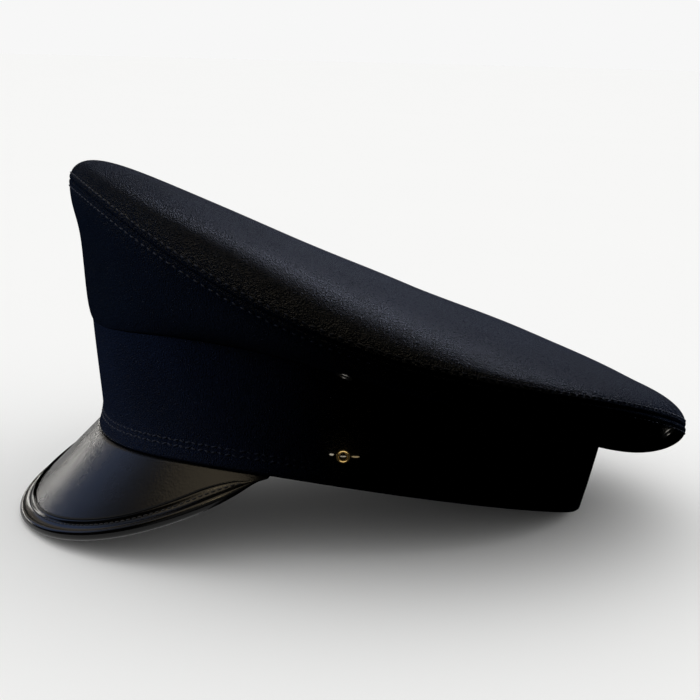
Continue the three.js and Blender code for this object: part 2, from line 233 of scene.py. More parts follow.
def side_surface(angle, along):
    """A cubic Bezier curve at each angle, from the band's top ring to the top seam's ring.

    Its two inner control points stand off the rings, outwards and upwards, by the stations' pulls.
    """
    out = outward(TOP_SEAM, angle)
    start = on_ring(BAND_TOP, angle)
    end = on_ring(TOP_SEAM, angle)
    leave = pulled(start, angle, out, LEAVES_BAND_OUT, LEAVES_BAND_UP)
    arrive = pulled(end, angle, out, MEETS_SEAM_OUT, MEETS_SEAM_UP)
    t = np.asarray(along)[..., None]
    s = 1 - t
    return s**3 * start + 3 * s**2 * t * leave + 3 * s * t**2 * arrive + t**3 * end


def top_surface(angle, inwards):
    """The top panel from the seam, inwards 0, to its middle, inwards 1; share is 1 - inwards.

    Height is a tilted plane, the seam's ripple times share to the power of its fade, a roll times the
    root of 1 - share to the tightness, and a dome times 1 - share squared.
    """
    share = 1 - np.asarray(inwards)
    seam = on_ring(TOP_SEAM, angle)
    front, rear = TOP_SEAM.height[0], TOP_SEAM.height[-1]
    middle = (front + rear) / 2
    plane = middle + (front - rear) / 2 * np.cos(angle)
    roll = lerp(TOP_MIDDLE_ROLL, around(TOP_ROLL, angle), share**2)
    roll_shape = np.sqrt(np.maximum(1 - share ** around(TOP_TIGHTNESS, angle), 0))
    tilted = middle + share * (plane - middle) + (seam[..., 2] - plane) * share**RIPPLE_FADE
    height = tilted + roll * roll_shape + TOP_DOME * (1 - share**2)
    lengthwise = TOP_SEAM.centre_y + share * (seam[..., 1] - TOP_SEAM.centre_y)
    return stacked(share * seam[..., 0], lengthwise, height)


def normal_of(surface, angle, along):
    """The outward normal: the surface's slope round the cap crossed with its slope along the cloth."""
    before = np.maximum(along - STEP, 0)
    after = np.minimum(along + STEP, 1)
    across = surface(angle + STEP, along) - surface(angle - STEP, along)
    return unit(np.cross(across, surface(angle, after) - surface(angle, before)))


def lengths(points, axis):
    """How far each point of a grid lies along its line, summed from the line's first point."""
    steps = np.linalg.norm(np.diff(points, axis=axis), axis=-1)
    start = np.zeros_like(np.take(steps, [0], axis=axis))
    return np.cumsum(np.concatenate([start, steps], axis=axis), axis=axis)


def along_at(surface, angle, distance, rows):
    """The way along a surface at a distance from its first row, read off lengths over the given rows."""
    far = lengths(surface(angle[:, None], rows[None]), 1)
    after = np.clip((far < distance).sum(axis=1), 1, len(rows) - 1)
    here = np.take_along_axis(far, after[:, None] - 1, 1)[:, 0]
    there = np.take_along_axis(far, after[:, None], 1)[:, 0]
    return lerp(rows[after - 1], rows[after], (distance - here) / (there - here))


# Slow waves of the cloth: their turns along x, y and z in radians for each millimetre, and their starts
WAVES = np.array([[71, 43, 90], [-50, 83, 31], [113, -37, -60], [21, 119, 47]]) * MM
WAVE_STARTS = (0.4, 2.1, 4, 1.3)
WAVE_DEPTH = 0.45
WAVE_FADE = 8  # how far from the cloth's edges the waves reach their depth


def worked_face(base, normal, from_edge, groove):
    """The cloth's face, moved out by slow waves and in by the grooves of its stitches.

    The waves are the mean of four sines of the place, times their depth and their fade.
    """
    waves = WAVE_DEPTH * np.sin(base @ WAVES.T + WAVE_STARTS).mean(axis=-1)
    waves = waves * np.minimum(from_edge / WAVE_FADE, 1)
    return base + normal * (waves - groove)[..., None]


def hollow(distance, centre, width, depth):
    """A groove at a distance: its depth times exp(-((distance - centre) / width) squared)."""
    return depth * np.exp(-(((distance - centre) / width) ** 2))


def seam_padding(angle, below):
    """How far the seam's turned-in edges push the cloth out, at a distance below the top seam.

    A hollow turned outwards, times cos(angle) squared where the cosine is positive.
    """
    return hollow(below, PADDING_MIDDLE, PADDING_WIDTH, PADDING) * np.maximum(np.cos(angle), 0) ** 2


# Meshes from arrays

MERGE = 1e-7  # metres; corners closer than this are one
SHARP_EDGE = math.radians(50)


def fill_mesh(name, points, faces, flat=None):
    """A piece from points in mm and groups of faces, each an array with a row of corners for each face.

    flat holds the place of each face's corner on the flat cloth, in mm.
    """
    mesh = bpy.data.meshes.new(name)
    mesh.vertices.add(len(points))
    mesh.vertices.foreach_set("co", (points * MM).astype(np.float32).ravel())
    sizes = np.concatenate([np.full(len(group), group.shape[1]) for group in faces])
    mesh.loops.add(int(sizes.sum()))
    mesh.loops.foreach_set("vertex_index", np.concatenate([group.ravel() for group in faces]))
    mesh.polygons.add(len(sizes))
    mesh.polygons.foreach_set("loop_start", np.cumsum(sizes) - sizes)
    mesh.update(calc_edges=True)
    if flat is not None:
        layer = mesh.uv_layers.new(name=UV_NAME)
        layer.uv.foreach_set("vector", flat.astype(np.float32).ravel())
    merged = bmesh.new()
    merged.from_mesh(mesh)
    bmesh.ops.remove_doubles(merged, verts=merged.verts, dist=MERGE)
    merged.to_mesh(mesh)
    merged.free()
    mesh.polygons.foreach_set("use_smooth", np.ones(len(mesh.polygons), bool))
    mesh.set_sharp_from_angle(angle=SHARP_EDGE)
    piece = bpy.data.objects.new(name, mesh)
    bpy.context.scene.collection.objects.link(piece)
    return piece


def volume(points, quads):
    """The signed volume inside quads: a sixth of the sum of a . (b x c) over their halves."""
    a, b, c, d = (points[quads[:, i]] for i in range(4))
    return (np.einsum("ij,ij->i", a, np.cross(b, c)) + np.einsum("ij,ij->i", a, np.cross(c, d))).sum() / 6


def grid_numbers(rows, columns):
    """The row and the column of each cell of a grid, as two flat arrays."""
    return (numbers.ravel() for numbers in np.meshgrid(np.arange(rows), np.arange(columns)))


def skin(name, sections, flat=None, round_it=True):
    """A closed skin through loops of points: face (i, j) joins points j and j + 1 of loops i and i + 1.

    The loops run round to the first again, or the first and the last loop are closed by strips that
    join each point to its mate, counted from the loop's other end. Faces that would point inwards, by
    the sign of the volume, are turned. flat has one row of places more than there are loops where the
    skin runs round, so that the pattern doesn't run back over the last strip.
    """
    count, points = sections.shape[:2]
    i, j = grid_numbers(count if round_it else count - 1, points)
    corner_i = np.stack([i, i + 1, i + 1, i], axis=1)
    corner_j = np.stack([j, j, j + 1, j + 1], axis=1) % points
    quads = (corner_i % count) * points + corner_j
    flat_quads = corner_i * points + corner_j
    if not round_it:
        k = np.arange(points // 2 - 1)
        start = np.stack([k, k + 1, points - 2 - k, points - 1 - k], axis=1)
        ends = np.concatenate([start, (start + (count - 1) * points)[:, ::-1]])
        quads = np.concatenate([quads, ends])
        flat_quads = np.concatenate([flat_quads, ends])
    corners = sections.reshape(-1, 3)
    if volume(corners, quads) < 0:
        quads = quads[:, ::-1]
        flat_quads = flat_quads[:, ::-1]
    places = None if flat is None else flat.reshape(-1, 2)[flat_quads]
    return fill_mesh(name, corners, [quads], places)


def wall(name, outer, inner, flat, round_it=True):
    """Cloth with two faces: each loop goes out along the outer face and back along the inner one."""
    loops = np.concatenate([outer, inner[:, ::-1]], axis=1)
    return skin(name, loops, np.concatenate([flat, flat[:, ::-1]], axis=1), round_it)


def finish_piece(piece, finish, nodes=()):
    """Gives a piece its material and its body, and hides the frame's nodes that it stands for."""
    piece.data.materials.append(bpy.data.materials[finish])
    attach(piece, BODY)
    if nodes:
        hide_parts(*nodes)
    return piece


# A whole turn and one more angle at its end, which falls on the first
CLOSED_TURN = np.linspace(0, FULL, CLOTH_COLUMNS + 1)


def inner_face(outer, normal, out, distance, cloth):
    """The cloth's inner face: level inwards at a cut edge, turning square to the cloth within twice
    the cloth's thickness of it."""
    turned = np.minimum(distance / (2 * cloth), 1)[..., None]
    return outer - cloth * unit(lerp(out, normal, turned))


# Materials


def add_node(tree, kind, output, inputs=None, **settings):
    """Adds a node and gives its output of that name, or the node itself where that is None.

    Settings are the node's own properties; inputs are its sockets' values or links.
    """
    node = tree.nodes.new("ShaderNode" + kind)
    for key, value in settings.items():
        setattr(node, key, value)
    for key, value in (inputs or {}).items():
        if isinstance(value, bpy.types.NodeSocket):
            tree.links.new(value, node.inputs[key])
        else:
            node.inputs[key].default_value = value
    return node.outputs[output] if output else node


def make_material(name, finish, colour, **details):
    """A material. Its finish is a function that adds the pattern's nodes and gives the shader's values."""
    material = bpy.data.materials.new(name)
    material.use_nodes = True
    tree = material.node_tree
    tree.nodes.clear()
    shader = add_node(tree, "BsdfPrincipled", "BSDF", finish(tree, colour, **details))
    add_node(tree, "OutputMaterial", None, {"Surface": shader})
    return material


def rgba(colour, share=1.0):
    return (*(share * channel for channel in colour), 1)


# Barathea is a broken rib weave of about 0.5 mm. At 0.42 mm a pixel that would vanish, so its ribs are
# drawn 0.8 mm apart and its pebbles 0.6 mm wide.
RIB = 0.8
RIB_LENGTH = 1.8
PEBBLE = 0.6
NAP = 0.55
RIB_SHARE = 0.4  # the ribs' height in the cloth's, beside the pebbles' whole height
NAP_SHARE = 2.0
CLOTH_LOW = 1.05  # the cloth's height in its valleys
CLOTH_HIGH = 2.0  # and on its tops
LINT_SPACE = 9
LINT_EDGE = (0.035, 0.055)  # where a speck of lint fades out, in shares of the space
# How wide the other patterns' marks are
WORN_PATCH = 45.5
LEATHER_DENT = 22.2
LEATHER_SMEAR = 14.3
METAL_SCUFF = 1.11
THREAD_TWIST = 0.556
FLOOR_CLOUD = 333


def scale(width):
    """A pattern's scale on a piece: a metre over the width of its marks."""
    return 1 / (width * MM)


def wool_barathea(tree, colour):
    """Wool barathea with a short nap: a deep matt navy whose pebbled ribs break up the light, and whose
    fibres catch it at a grazing angle."""
    place = add_node(tree, "UVMap", "UV", uv_map=UV_NAME)
    stretched = {"Vector": place, "Scale": (1 / RIB, 1 / RIB_LENGTH, 1)}
    rib_place = add_node(tree, "Mapping", "Vector", stretched)
    ribs = add_node(tree, "TexNoise", "Fac", {"Vector": rib_place, "Scale": 1, "Detail": 1})
    rounded = {"Vector": place, "Scale": 1 / PEBBLE, "Randomness": 0.7}
    pebbles = add_node(tree, "TexVoronoi", "Distance", rounded)
    brushed = {"Vector": place, "Scale": 1 / NAP, "Detail": 1, "Roughness": 0.6}
    nap = add_node(tree, "TexNoise", "Fac", brushed)
    weave = add_node(tree, "Math", "Value", {0: ribs, 1: RIB_SHARE, 2: pebbles}, operation="MULTIPLY_ADD")
    cloth = add_node(tree, "Math", "Value", {0: nap, 1: NAP_SHARE, 2: weave}, operation="MULTIPLY_ADD")
    height = {"Value": cloth, "From Min": CLOTH_LOW, "From Max": CLOTH_HIGH}
    tone = add_node(tree, "MapRange", "Result", {**height, "To Min": 0, "To Max": 1})
    tones = {"Factor": tone, "A": rgba(colour, 0.45), "B": rgba(colour, 1.75)}
    mixed = add_node(tree, "Mix", "Result", tones, data_type="RGBA")
    body = add_node(tree, "TexCoord", "Object")
    patches = add_node(tree, "TexNoise", "Fac", {"Vector": body, "Scale": scale(WORN_PATCH), "Detail": 2})
    wear = {"Value": patches, "From Min": 0.3, "From Max": 0.7, "To Min": 0.8, "To Max": 1.2}
    worn = add_node(tree, "MapRange", "Result", wear)
    patched = add_node(tree, "VectorMath", "Vector", {0: mixed, "Scale": worn}, operation="SCALE")
    specks = add_node(tree, "TexVoronoi", "Distance", {"Vector": place, "Scale": 1 / LINT_SPACE})
    edge = {"Value": specks, "From Min": LINT_EDGE[0], "From Max": LINT_EDGE[1], "To Min": 0.35, "To Max": 0}
    lint = add_node(tree, "MapRange", "Result", edge)
    linted = {"Factor": lint, "A": patched, "B": rgba(linear("#6a6c74"))}
    return {
        "Base Color": add_node(tree, "Mix", "Result", linted, data_type="RGBA"),
        "Roughness": add_node(tree, "MapRange", "Result", {**height, "To Min": 0.62, "To Max": 0.24}),
        "IOR": 1.45,
        "Specular IOR Level": 0.5,
        "Sheen Weight": 0.06,
        "Sheen Roughness": 0.4,
        "Sheen Tint": rgba(linear("#8a909e")),
        "Normal": add_node(tree, "Bump", "Normal", {"Height": cloth, "Strength": 1, "Distance": 0.6 * MM}),
    }


def patent_leather(tree, colour, roughness, grain, depth):
    """Patent leather: black leather under a lacquer, with soft reflections that a fine grain breaks up
    and dull hairline wear. The grain's width and depth are in millimetres."""
    body = add_node(tree, "TexCoord", "Object")
    dents = add_node(tree, "TexNoise", "Fac", {"Vector": body, "Scale": scale(LEATHER_DENT), "Detail": 1})
    waved = add_node(tree, "Bump", "Normal", {"Height": dents, "Strength": 0.2, "Distance": 0.6 * MM})
    grained = {"Vector": body, "Scale": scale(grain), "Detail": 3, "Roughness": 0.6}
    pores = add_node(tree, "TexNoise", "Fac", grained)
    relief = {"Height": pores, "Strength": 0.5, "Distance": depth * MM, "Normal": waved}
    smears = add_node(tree, "TexNoise", "Fac", {"Vector": body, "Scale": scale(LEATHER_SMEAR), "Detail": 4})
    gloss = {
        "Value": smears,
        "From Min": 0.35,
        "From Max": 0.7,
        "To Min": roughness - 0.02,
        "To Max": roughness + 0.03,
    }
    return {
        "Base Color": rgba(colour),
        "Roughness": add_node(tree, "MapRange", "Result", gloss),
        "IOR": 1.5,
        "Normal": add_node(tree, "Bump", "Normal", relief),
    }


def mottled(tree, colour, width, detail, dark, light):
    """Clouds over a piece, and its colour, which goes with them from a dark share to a light one."""
    body = add_node(tree, "TexCoord", "Object")
    clouds = add_node(tree, "TexNoise", "Fac", {"Vector": body, "Scale": scale(width), "Detail": detail})
    tones = {"Factor": clouds, "A": rgba(colour, dark), "B": rgba(colour, light)}
    return clouds, add_node(tree, "Mix", "Result", tones, data_type="RGBA")


def sewing_thread(tree, colour):
    """Twisted polyester or cotton thread: a little lighter and glossier than the cloth that it holds."""
    tones = mottled(tree, colour, THREAD_TWIST, 2, 0.45, 1.6)[1]
    return {"Base Color": tones, "Roughness": 0.5, "Sheen Weight": 0.2}


def struck_metal(tree, colour, roughness):
    """Pressed sheet metal, brass or blackened steel: a bright rolled edge with small scuffs."""
    scuffs, tones = mottled(tree, colour, METAL_SCUFF, 3, 0.6, 1.1)
    relief = {"Height": scuffs, "Strength": 0.3, "Distance": 0.05 * MM}
    return {
        "Base Color": tones,
        "Metallic": 1,
        "Roughness": roughness,
        "Normal": add_node(tree, "Bump", "Normal", relief),
    }


def painted_floor(tree, colour):
    """Matt painted board: an even pale ground that takes a soft shadow."""
    return {"Base Color": mottled(tree, colour, FLOOR_CLOUD, 2, 0.99, 1)[1], "Roughness": 0.9}


# The crown

SEAM_VALLEY = 0.35  # how deep the two cloths turn in at a seam
SEAM_VALLEY_WIDTH = 0.6
STITCH_GROOVE = 0.12
STITCH_GROOVE_WIDTH = 0.8
SIDE_SEAM_VALLEY = 0.8 * SEAM_VALLEY
ROLL_TURN = 82  # degrees of the roll that the top's closer rows follow
PADDING = 1.7  # how far the seam's edges push the side's cloth out at the front
PADDING_MIDDLE = 8  # how far below the seam they push most
PADDING_WIDTH = 10
TURN_IN = 2.5  # of the side's cloth under its own lower edge


def grooves(distance, *rows):
    """What rows of stitches at these distances pull the cloth in."""
    return sum(hollow(distance, row, STITCH_GROOVE_WIDTH, STITCH_GROOVE) for row in rows)


def top_rows():
    """Ways inwards: close where the cloth rolls, 1 - cos(turn) to the power 2 / tightness, then even."""
    turn = np.radians(np.linspace(0, ROLL_TURN, ROLL_ROWS))
    roll = 1 - np.cos(turn) ** (2 / TOP_TIGHTNESS[0])
    return np.concatenate([roll, np.linspace(roll[-1], 1, DOME_ROWS + 1)[1:]])


class CAP_OT_crown_top(bpy.types.Operator):
    """Make the cloth of the crown's top, a soft dome that rolls over to the seam"""

    bl_idname = "cap.crown_top"
    bl_label = "Crown top"

    def execute(self, context):
        sizes = context.scene.cap_sizes
        cloth = sizes.cloth / MM
        angle, inwards = np.meshgrid(CLOSED_TURN, top_rows(), indexing="ij")
        base = top_surface(angle, inwards)
        base[:, 0, 2] += GAP
        far = lengths(base, 1)
        out = outward(TOP_SEAM, angle)
        normal = normal_of(top_surface, angle, inwards)
        normal[:, -1] = (0, 0, 1)
        outer = worked_face(base, normal, far, grooves(far, sizes.seam_row / MM))
        outer += out * seam_padding(angle, -far)[..., None]
        outer -= out * hollow(far, 0, SEAM_VALLEY_WIDTH, SEAM_VALLEY)[..., None]
        inner = inner_face(base, normal, out, far, cloth)
        reach = far[:, -1:] - far
        flat = stacked(reach * np.sin(angle), -reach * np.cos(angle))
        outer[:, -1] = outer[:, -1].mean(axis=0)
        inner[:, -1] = inner[:, -1].mean(axis=0)
        piece = wall("crown_top_cloth", outer[:-1], inner[:-1], flat)
        finish_piece(piece, "wool barathea, crown", ["crown_top"])
        return {"FINISHED"}


def side_panel(name, middle, node, sizes):
    """Half of the crown's side, from one side seam round to the other.

    Columns lie close at the seams: the angle is a quarter turn times sin of an even run from -90 to 90
    degrees. The cloth turns in along all four edges.
    """
    cloth = sizes.cloth / MM
    half = math.pi / 2 - GAP / 2 / TOP_SEAM.half_width
    turn = middle + half * np.sin(np.linspace(-math.pi / 2, math.pi / 2, CLOTH_COLUMNS // 2 + 1))
    rows = (1 - np.cos(np.linspace(0, math.pi, SIDE_ROWS))) / 2
    angle, along = np.meshgrid(turn, rows, indexing="ij")
    base = side_surface(angle, along)
    far = lengths(base, 1)
    from_top = far[:, -1:] - far
    across = lengths(base, 0)
    from_end = np.minimum(across, across[-1:] - across)
    out = outward(TOP_SEAM, angle)
    normal = normal_of(side_surface, angle, along)
    groove = grooves(from_top, sizes.seam_row / MM)
    outer = worked_face(base, normal, np.minimum(from_top, far), groove)
    outer += out * seam_padding(angle, from_top)[..., None]
    valley = hollow(from_top, 0, SEAM_VALLEY_WIDTH, SEAM_VALLEY)
    valley += hollow(from_end, 0, SEAM_VALLEY_WIDTH, SIDE_SEAM_VALLEY) * (1 - valley / SEAM_VALLEY)
    outer -= out * valley[..., None]
    inner = inner_face(base, normal, out, from_top, cloth)
    tuck = outer[:, :1] - out[:, :1] * TURN_IN
    inner[:, 0] = tuck[:, 0] + [0, 0, cloth]
    outer = np.concatenate([tuck, outer], axis=1)
    inner = np.concatenate([inner[:, :1] - [0, 0, cloth / 2], inner], axis=1)
    up = np.concatenate([far[:, :1] - TURN_IN, far], axis=1)
    middle_line = across[:, SIDE_ROWS // 2, None]
    piece = wall(name, outer, inner, stacked(middle_line, up), round_it=False)
    finish_piece(piece, "wool barathea, crown", [node])


class CAP_OT_crown_side(bpy.types.Operator):
    """Make the two halves of the crown's side, which meet at the side seams"""

    bl_idname = "cap.crown_side"
    bl_label = "Crown side"

    def execute(self, context):
        sizes = context.scene.cap_sizes
        side_panel("crown_front_cloth", 0, "crown_side_front", sizes)
        side_panel("crown_rear_cloth", math.pi, "crown_side_rear", sizes)
        return {"FINISHED"}


# The band

BAND_SEAM_DEPTH = 0.6
BAND_SEAM_WIDTH = 1
BAND_FOLD = 0.8  # how the lower edge rounds over into the inside
BAND_FOLD_WIDTH = 0.5
BAND_CROWDING = 0.45  # of the columns at the rear seam
BAND_ROW_POWER = 1.6  # so that the rows lie close at the lower edge


class CAP_OT_band(bpy.types.Operator):
    """Make the band's cloth, folded over at its lower edge and joined at the rear"""

    bl_idname = "cap.band"
    bl_label = "Band"

    def execute(self, context):
        sizes = context.scene.cap_sizes
        cloth = sizes.cloth / MM
        turn = CLOSED_TURN - BAND_CROWDING * np.sin(CLOSED_TURN)
        angle, part = np.meshgrid(turn, np.linspace(0, 1, BAND_ROWS), indexing="ij")
        angle = angle + math.pi
        along = part**BAND_ROW_POWER
        base = band_surface(angle, along)
        base[:, -1, 2] -= GAP
        far = lengths(base, 1)
        out = outward(BAND_EDGE, angle)
        seam = lengths(base, 0)
        seam = np.minimum(seam, seam[-1:] - seam)
        normal = normal_of(band_surface, angle, along)
        first = sizes.band_row / MM
        groove = grooves(far, first, first + sizes.band_row_space / MM)
        outer = worked_face(base, normal, far, groove)
        sunk = hollow(seam, 0, BAND_SEAM_WIDTH, BAND_SEAM_DEPTH) + hollow(far, 0, BAND_FOLD_WIDTH, BAND_FOLD)
        outer -= out * sunk[..., None]
        inner = base - out * cloth
        flat = stacked(lengths(base, 0)[:, BAND_ROWS // 2, None], far)
        piece = wall("band_cloth", outer[:-1], inner[:-1], flat)
        # Its colour is painted lighter than the crown's: painted light for the light on the band's front
        finish_piece(piece, "wool barathea, band, painted lighter", ["cap_band"])
        return {"FINISHED"}


# The peak and its binding

BOARD_END = 0.2  # the board's thickness at the ends of its rim, as a share
BOARD_END_POWER = 16  # so that it thins only near the ends


def rim_point(share):
    """The rim from one end on the band, share -1, round by the tip, 0, to the other end, 1.

    With turn = share times 90 degrees, x goes as sin(turn), y goes from the tip to the ends as
    back = 1 - cos(turn), and z as back + lift sin(turn) squared cos(turn).
    """
    turn = share * math.pi / 2
    end = band_surface(np.array(PEAK_HALF_ANGLE), 0.0)
    end = end + outward(BAND_EDGE, np.array(PEAK_HALF_ANGLE)) * PEAK_END_REACH
    back = 1 - np.cos(turn)
    rise = back + PEAK_LIFT * np.sin(turn) ** 2 * np.cos(turn)
    y = lerp(PEAK_TIP_Y, end[1], back)
    return stacked(end[0] * np.sin(turn), y, lerp(PEAK_TIP_Z, end[2] - GAP, rise))


class PeakFrame(NamedTuple):
    """Directions and places across the peak at places along its rim."""

    angle: np.ndarray
    foot: np.ndarray
    rim: np.ndarray
    slope: np.ndarray
    width: np.ndarray
    along: np.ndarray
    face: np.ndarray


def peak_frame(share):
    """The foot under the band's edge, the rim, the way down between them, and the way out of the face."""
    angle = share * PEAK_HALF_ANGLE
    foot = band_surface(angle, 0 * angle) - [0, 0, GAP]
    rim = rim_point(share)
    width = np.linalg.norm(rim - foot, axis=-1)[..., None]
    slope = (rim - foot) / width
    along = unit(rim_point(share + STEP) - rim_point(share - STEP))
    face = unit(np.cross(along, slope))
    face = np.where(face[..., 2:] < 0, -face, face)
    return PeakFrame(angle, foot, rim, slope, width, along, face)


def board_edge(place):
    """The board's edge: up from the rim by the binding's reach, or half the peak where that is less."""
    return place.rim - place.slope * np.minimum(BINDING_REACH, place.width / 2)


class CAP_OT_peak(bpy.types.Operator):
    """Make the stiff peak, with its sewing edge turned up inside the band"""

    bl_idname = "cap.peak"
    bl_label = "Peak"

    def execute(self, context):
        sizes = context.scene.cap_sizes
        inside = sizes.cloth / MM + SEWING_ROOM
        share = np.linspace(-1, 1, PEAK_COLUMNS + 1)
        place = peak_frame(share)
        board = sizes.board / MM * lerp(1, BOARD_END, np.abs(share[:, None]) ** BOARD_END_POWER)
        out = outward(BAND_EDGE, place.angle)
        height = around(BAND_TOP.height, place.angle) - around(BAND_EDGE.height, place.angle)
        edge_top = band_surface(place.angle, SEWING_EDGE / height) - out * inside
        bend = place.foot - out * inside
        edge = board_edge(place)
        share = np.linspace(0, 1, PEAK_ROWS + 1)[:, None]
        slope = lerp(place.foot[:, None], edge[:, None], share)
        outer = np.concatenate([edge_top[:, None], bend[:, None], slope], axis=1)
        under_bend = bend - out * board - board * [0, 0, 1]
        under_slope = slope - (place.face * board)[:, None]
        under_top = edge_top - out * board
        inner = np.concatenate([under_top[:, None], under_bend[:, None], under_slope], axis=1)
        loops = np.concatenate([outer, inner[:, ::-1]], axis=1)
        piece = skin("patent_peak", loops, round_it=False)
        finish_piece(piece, "patent leather, peak", ["peak"])
        return {"FINISHED"}


BEAD_ARC = 26  # points round the outer bead
BEAD_START = 48  # degrees, where the bead rises from the channel
BEAD_ROOM = 0.3  # from the bead to the channel; the underside starts at twice that
INNER_BEAD = 0.65  # height of the small bead over its feet
INNER_BEAD_FEET = 0.3  # how far its feet lie below the binding's face
INNER_BEAD_POWER = 0.7  # under 1, for a full round
INNER_BEAD_WIDTH = 0.9
INNER_BEAD_POINTS = 9
CHANNEL_POINTS = 8
CHANNEL_DIP = 0.4
BINDING_ENDS_FROM = 0.8  # where along the rim the binding begins to shrink towards its ends
BINDING_END_SIZE = 0.1
BINDING_END = 0.97  # where along the rim the binding ends


def binding_outline(sizes):
    """The binding's section, as ways in from the board's edge and up from its face.

    It starts on the board, goes over the small inner bead, half a sine wave, along the channel, which
    dips as half a sine wave, round the outer bead, a circle, and back under the board.
    """
    board = sizes.board / MM
    width = sizes.binding_width / MM
    bead = sizes.bead_radius / MM
    under = -board - GAP - BINDING_LEG
    rise = np.linspace(0, math.pi, INNER_BEAD_POINTS)
    small_up = BINDING_OVER - INNER_BEAD_FEET + INNER_BEAD * np.sin(rise) ** INNER_BEAD_POWER
    small = stacked(width - INNER_BEAD_WIDTH * rise / math.pi, small_up)
    turn = np.radians(np.linspace(BEAD_START, 360 - BEAD_START, BEAD_ARC))
    big = stacked(BEAD_IN + bead * np.cos(turn), BEAD_MIDDLE + bead * np.sin(turn))
    share = np.linspace(0, 1, CHANNEL_POINTS + 2)[1:-1]
    channel_in = lerp(width - INNER_BEAD_WIDTH, big[0, 0] + BEAD_ROOM, share)
    channel = stacked(channel_in, BINDING_OVER - CHANNEL_DIP * np.sin(share * math.pi))
    below = stacked(lerp(big[-1, 0] + 2 * BEAD_ROOM, width, share), under)
    return np.concatenate([small, channel, big, below])


def clear_of_band(points):
    """Presses down what lies under the band's wall until it clears the band's lower edge.

    A point's angle and its way out from the band come from the edge's oval, and its height is cut to
    the edge's height less the gap where it lies inside the band's outer face.
    """
    x = points[..., 0] / BAND_EDGE.half_width
    y = (BAND_EDGE.centre_y - points[..., 1]) / BAND_EDGE.half_length
    angle = np.arctan2(x, y)
    edge = band_surface(angle, 0 * angle)
    reach = np.einsum("...i,...i->...", points - edge, outward(BAND_EDGE, angle))
    ceiling = np.where(reach < GAP, edge[..., 2] - GAP, np.inf)
    return np.concatenate([points[..., :2], np.minimum(points[..., 2], ceiling)[..., None]], axis=-1)


def binding_place(share, section, sizes):
    """Points of the binding's section carried along the rim; it narrows where the peak does."""
    place = peak_frame(share)
    inward = unit(np.cross(place.face, place.along))
    inward = np.where((inward * place.slope).sum(axis=-1, keepdims=True) > 0, -inward, inward)
    taper = np.minimum(1, place.width / (sizes.binding_width / MM + BINDING_REACH))[:, None]
    ways = np.where(section[None, :, :1] > 0, section[None, :, :1] * taper, section[None, :, :1])
    beyond = np.maximum(np.abs(share) - BINDING_ENDS_FROM, 0) / (BINDING_END - BINDING_ENDS_FROM)
    ends = lerp(BINDING_END_SIZE, 1, 1 - np.minimum(beyond, 1) ** 2)[:, None, None]
    points = inward[:, None] * ways + place.face[:, None] * section[None, :, 1:]
    return board_edge(place)[:, None] + points * ends, place


class CAP_OT_binding(bpy.types.Operator):
    """Make the binding round the peak's rim: outer bead, stitched channel and inner bead"""

    bl_idname = "cap.binding"
    bl_label = "Peak binding"

    def execute(self, context):
        sizes = context.scene.cap_sizes
        even = np.linspace(-1, 1, PEAK_COLUMNS + 1)
        # Half way from a sine to an even run, for closer columns at the ends
        share = BINDING_END * lerp(np.sin(even * math.pi / 2), even, 0.5)
        points = binding_place(share, binding_outline(sizes), sizes)[0]
        piece = skin("peak_edge_binding", clear_of_band(points), round_it=False)
        finish_piece(piece, "patent leather, binding", ["peak_binding"])
        return {"FINISHED"}


# Stitches

THREAD_SIDES = 6
THREAD_RINGS = 6
PATH_POINTS = 2400
SEARCH_ROWS = 200  # in which a row's distance is read off the cloth
SIDE_SEARCH = 0.4  # how far down the side they reach, as its way along the cloth
BAND_SEARCH = 0.8  # and how far up the band
BINDING_ROW = 4.0  # distance of the binding's row from the board's edge
BINDING_ROW_END = 0.93  # where along the rim that row ends


class Stitching(NamedTuple):
    """A row's stitches: length as a share of the pitch, lean in radians, depth in the cloth and arch."""

    share: float
    lean: float
    sink: float
    arch: float


SEAM_STITCHING = Stitching(0.7, 0.09, 0.1, 0.12)
BAND_STITCHING = Stitching(0.78, 0.24, 0.15, 0.1)
BINDING_STITCHING = Stitching(0.75, 0, 0, 0.1)


def placed_stitches(path, normals, pitch, kind):
    """Middles, ways along and ways up of stitches spaced evenly along a path of close points.

    They lean to either side of the path by turns, and sink into the cloth.
    """
    length = kind.share * pitch
    far = lengths(path, 0)
    count = int(far[-1] // pitch)
    middles = (np.arange(count) + 0.5) * far[-1] / count
    before, here, after = (
        np.stack([np.interp(middles + shift, far, path[:, k]) for k in range(3)], axis=1)
        for shift in (-length / 2, 0, length / 2)
    )
    up = unit(np.stack([np.interp(middles, far, normals[:, k]) for k in range(3)], axis=1))
    along = unit(after - before)
    up = unit(up - (up * along).sum(axis=1, keepdims=True) * along)
    way = (kind.lean * (-1.0) ** np.arange(count))[:, None]
    return here - up * kind.sink, along * np.cos(way) + np.cross(up, along) * np.sin(way), up


